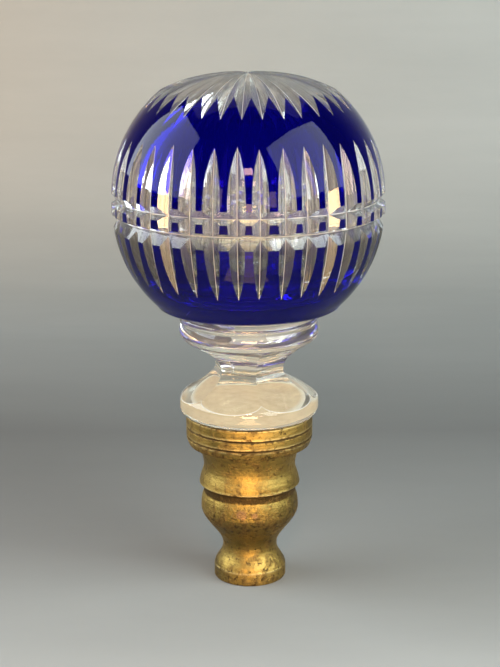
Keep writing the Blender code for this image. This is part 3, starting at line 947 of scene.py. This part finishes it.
def dirt_and_shade_mask(made, height, share, scale, stops):
    """Grime and painted shade where DIRT_AND_SHADE_BY_HEIGHT says, broken up by a noise of the given scale.
    """
    top = MOUNT_TOP_Z / MM
    # The bands just under the band and in the undercut below the bead are painted shade; the rest is grime
    dirt_and_shade_bands = made.ramp_grey(height, [(z / top, share * amount) for z, amount in DIRT_AND_SHADE_BY_HEIGHT])
    return made.ramp_grey(made.added(dirt_and_shade_bands, made.noise(scale, 9.0, 0.66)), stops)


def worn_and_highlight_edge_mask(made, height):
    """The edges made bright: partly wear from handling, partly a painted highlight along the lips of the
    grooves and the bead.
    """
    top = MOUNT_TOP_Z / MM
    stops = [(0.0, 0)]
    for z in WORN_AND_HIGHLIGHT_EDGES:
        reach = min(WORN_AND_HIGHLIGHT_EDGE_WIDTH, top - z)
        stops += [((z - WORN_AND_HIGHLIGHT_EDGE_WIDTH) / top, 0), (z / top, 0.8), ((z + reach) / top, 0)]
    return made.ramp_grey(height, stops)


def spot(made, point, radius, strength):
    """A ragged mark round a point, in millimetres."""
    away = made.vector("DISTANCE", made.place(), [c * MM for c in point])
    total = made.added(made.share(away, 0.0, 2 * radius * MM), made.noise(500.0, 6.0, 0.7))
    return made.ramp_grey(total, [(0.86, strength), (1.06, 0)])


def brass_colour(made, height, cloud, fine, dirt_and_shade):
    """Clean brass, then worn edges that are partly painted highlight, brown and black grime with painted
    shade under the band and below the bead, specks, coppery patches and pits over it.
    """
    specks = dirt_and_shade_mask(made, height, 0.15, 560.0, [(0.6, 0), (0.66, 1)])
    colour = made.ramp(cloud, CLEAN_BRASS)
    # Bright edges: partly wear, partly painted highlight
    colour = made.mix(worn_and_highlight_edge_mask(made, height), colour, WORN_AND_HIGHLIGHT_BRASS)
    # Brown and black darkening: grime, with painted shade under the band and in the undercut below the bead
    colour = made.mix(made.ramp_grey(dirt_and_shade, [(0.0, 0), (0.5, 1)]), colour, made.ramp(fine, BROWN_DIRT_AND_SHADE))
    colour = made.mix(made.ramp_grey(dirt_and_shade, [(0.5, 0), (1.0, 1)]), colour, BLACK_DIRT_AND_SHADE)
    colour = made.mix(specks, colour, SPECK)
    for point, radius in COPPERY_PATCHES:
        colour = made.mix(spot(made, point, radius, 0.7), colour, COPPERY)
    for point, radius in PITS:
        colour = made.mix(spot(made, point, radius, 0.9), colour, PIT)
    return colour


def brass_finish():
    """Aged brass: cloudy, turned marks round it, dull where it is dirty and where shade is painted under the
    band and below the bead.
    """
    made = Finish("aged_brass")
    cloud = made.noise(50.0, 6.0, 0.6)
    fine = made.noise(900.0, 5.0, 0.65)
    turning_marks = made.noise(70.0, 6.0, 0.65, (1, 1, 14))
    height = made.share_along("Z", 0.0, MOUNT_TOP_Z)
    # Grime together with painted shade under the band and in the undercut below the bead
    dirt_and_shade = dirt_and_shade_mask(made, height, 0.24, 300.0, [(0.53, 0), (0.66, 0.45), (0.84, 1)])
    made.links.new(brass_colour(made, height, cloud, fine, dirt_and_shade), made.shader.inputs["Base Color"])
    made.shader.inputs["Metallic"].default_value = 1.0
    rough = made.ramp_grey(made.added(cloud, dirt_and_shade), [(0.3, 0.34), (1.3, 0.62)])
    made.links.new(rough, made.shader.inputs["Roughness"])
    made.bump(made.added(made.added(turning_marks, fine), dirt_and_shade), 0.00022)
    return made.material


def plaster_finish():
    """Beige plaster, paler where it is squeezed thin at its edge."""
    made = Finish("plaster")
    out = made.vector("LENGTH", made.vector("MULTIPLY", made.place(), (1 / BED_RADIUS, 1 / BED_RADIUS, 0)))
    grain = made.noise(300.0, 5.0)
    tint = made.ramp(grain, [(0.3, (0.74, 0.56, 0.34)), (0.7, (0.88, 0.71, 0.46))])
    edge = made.ramp_grey(out, [(0.0, 0), (0.76, 0), (0.84, 1)])
    made.links.new(made.mix(edge, tint, (0.95, 0.9, 0.78)), made.shader.inputs["Base Color"])
    made.shader.inputs["Roughness"].default_value = 0.9
    made.bump(grain, 0.0001)
    return made.material


# Room, lights and camera


# Floor and wall, with painted light and shade: distance behind the part, grey, tint on the left, tint on the
# right. The grey is a painted shadow on the floor behind the part, darkest at 0.18 m, and a painted pool of
# warm light in front of the part, from -0.65 to -0.3 m
FLOOR_LIGHT_AND_SHADE_BY_DEPTH = [
    (-1.1, 0.12, (1, 0.9, 0.8), (1, 0.9, 0.8)),
    (-0.65, 0.8, (1, 0.84, 0.6), (1, 0.84, 0.6)),
    (-0.3, 0.8, (1, 0.86, 0.64), (1, 0.86, 0.64)),
    (-0.13, 0.41, (1, 0.98, 0.93), (0.97, 1.0, 0.97)),
    (-0.06, 0.285, (1, 0.98, 0.93), (0.95, 1.0, 0.97)),
    (0.055, 0.19, (1, 0.98, 0.93), (0.94, 1.0, 0.98)),
    (0.177, 0.134, (1, 0.98, 0.93), (0.94, 1.0, 0.99)),
    (0.38, 0.24, (1, 0.99, 0.94), (0.94, 1.0, 0.98)),
    (0.83, 0.485, (1, 0.89, 0.76), (0.94, 1.0, 0.98)),
    (1.2, 0.49, (1, 0.9, 0.78), (0.92, 0.99, 0.97)),
]
FLOOR_FRONT_Y = -2.5
FLOOR_BACK_Y = 0.5              # where the floor begins to curve up
FLOOR_CURVE = 0.7
FLOOR_HALF_WIDTH = 3.0
WALL_TOP_Z = 3.0
TINT_HALF_WIDTH = 0.3           # the left tint turns into the right one across the middle


def backdrop_finish():
    """A painted floor, with painted shade behind the part and a painted pool of warm light in front of it, by
    its distance behind the part.
    """
    made = Finish("floor")
    first, last = FLOOR_LIGHT_AND_SHADE_BY_DEPTH[0][0], FLOOR_LIGHT_AND_SHADE_BY_DEPTH[-1][0]
    depth = made.share_along("Y", first, last)
    left = []
    right = []
    # Painted light and shade: the grey by depth is a painted shadow behind the part and a painted pool of
    # warm light in front of it
    for y, grey, left_tint, right_tint in FLOOR_LIGHT_AND_SHADE_BY_DEPTH:
        share = (y - first) / (last - first)
        left.append((share, tuple(grey * t for t in left_tint)))
        right.append((share, tuple(grey * t for t in right_tint)))
    across = made.share_along("X", -TINT_HALF_WIDTH, TINT_HALF_WIDTH)
    brushed = made.ramp_grey(made.noise(9.0, 8.0, 0.65, (0.3, 1, 1)), [(0.3, 0.9), (0.7, 1)])
    colour = made.times(made.mix(across, made.ramp(depth, left), made.ramp(depth, right)), brushed)
    made.links.new(colour, made.shader.inputs["Base Color"])
    made.shader.inputs["Roughness"].default_value = 0.8
    made.shader.inputs["Specular IOR Level"].default_value = 0.2
    return made.material


def backdrop():
    """A pale floor that curves up into a wall."""
    outline = [(FLOOR_FRONT_Y, 0.0), (FLOOR_BACK_Y, 0.0)]
    for degrees in range(0, 91, 6):
        angle = math.radians(degrees)
        outline.append((FLOOR_BACK_Y + FLOOR_CURVE * math.sin(angle), FLOOR_CURVE * (1 - math.cos(angle))))
    outline.append((FLOOR_BACK_Y + FLOOR_CURVE, WALL_TOP_Z))
    points = []
    for y, z in outline:
        points += [(-FLOOR_HALF_WIDTH, y, z), (FLOOR_HALF_WIDTH, y, z)]
    faces = [(2 * i, 2 * i + 1, 2 * i + 3, 2 * i + 2) for i in range(len(outline) - 1)]
    mesh = bpy.data.meshes.new("backdrop")
    mesh.from_pydata(points, [], faces)
    mesh.shade_smooth()
    mesh.materials.append(backdrop_finish())
    thing = bpy.data.objects.new("backdrop", mesh)
    bpy.context.scene.collection.objects.link(thing)


def softbox(name, corner, across, up, radiance, colour=(1, 1, 1)):
    """A rectangular light from one corner and its two edges, shining away from across x up."""
    across, up = Vector(across), Vector(up)
    light = bpy.data.lights.new(name, "AREA")
    light.shape = "RECTANGLE"
    light.size = across.length
    light.size_y = up.length
    light.energy = radiance * math.pi * across.length * up.length
    light.color = colour
    thing = bpy.data.objects.new(name, light)
    x = across.normalized()
    y = (up - up.dot(x) * x).normalized()
    z = x.cross(y)
    rotation = [[x[i], y[i], z[i]] for i in range(3)]
    thing.matrix_world = Matrix.Translation(Vector(corner) + across / 2 + up / 2) @ Matrix(rotation).to_4x4()
    thing.visible_camera = False
    bpy.context.scene.collection.objects.link(thing)
    return thing


def lights():
    """Two windows, lamps in front, the glow of the floor in front and a weak ceiling."""
    world = bpy.data.worlds.new("room")
    world.use_nodes = True
    world.node_tree.nodes["Background"].inputs["Color"].default_value = (0.06, 0.057, 0.053, 1)
    world.node_tree.nodes["Background"].inputs["Strength"].default_value = 1.0
    bpy.context.scene.world = world
    softbox("left_window", (-0.8, 0.5, 0.22), (0, -1.0, 0), (0, 0, 0.98), 5.6, (0.88, 0.96, 1.0))
    softbox("right_window", (0.61, -0.95, 0.28), (0.49, 0.89, 0), (-0.34, 0.08, 0.78), 6.4, (0.86, 0.98, 1.0))
    softbox("lamp", (-0.08, -0.95, 0.6), (0.14, 0, 0), (0, 0.035, 0.09), 60.0, (1.0, 0.62, 0.52))
    softbox("lamp_left", (-0.46, -0.95, 0.16), (0.08, -0.04, 0), (0, 0, 0.26), 9.0, (1.0, 0.72, 0.6))
    softbox("lamp_right", (0.29, -0.95, 0.16), (0.08, 0.04, 0), (0, 0, 0.2), 9.0, (1.0, 0.72, 0.6))
    softbox("lamp_low", (-0.22, -0.95, 0.01), (0.44, 0, 0), (0, 0, 0.2), 30.0, (1.0, 0.62, 0.3))
    softbox("floor_glow", (0.04, -0.45, 0.01), (-0.09, 0, 0), (0, 0.33, 0), 5.0, (1.0, 0.66, 0.3))
    softbox("ceiling", (-1.1, -0.1, 1.9), (2.2, 0, 0), (0, 1.4, 0), 0.7, (1.0, 0.9, 0.75))


# The photograph's height and the camera's focal length, in its pixels
PHOTO_HEIGHT = 667
FOCAL_LENGTH = 1483
SENSOR_HEIGHT = 36.0            # millimetres
CAMERA_PLACE = (0.0004, -0.5366, 0.2343)
CAMERA_TILT_DEG = 14.45
CAMERA_ROLL_DEG = -0.245


def camera():
    made = bpy.data.cameras.new("camera")
    made.sensor_fit = "VERTICAL"
    made.sensor_height = SENSOR_HEIGHT
    made.lens = FOCAL_LENGTH / PHOTO_HEIGHT * SENSOR_HEIGHT
    thing = bpy.data.objects.new("camera", made)
    thing.location = CAMERA_PLACE
    tilt = Euler((math.radians(90 - CAMERA_TILT_DEG), 0, 0)).to_matrix()
    roll = Euler((0, 0, math.radians(CAMERA_ROLL_DEG))).to_matrix()
    thing.rotation_euler = (tilt @ roll).to_euler()
    bpy.context.scene.collection.objects.link(thing)
    bpy.context.scene.camera = thing


camera()
backdrop()
lights()
crystal_finial()
brass_mount()
plaster_bed()
bpy.context.scene.view_settings.view_transform = "Standard"
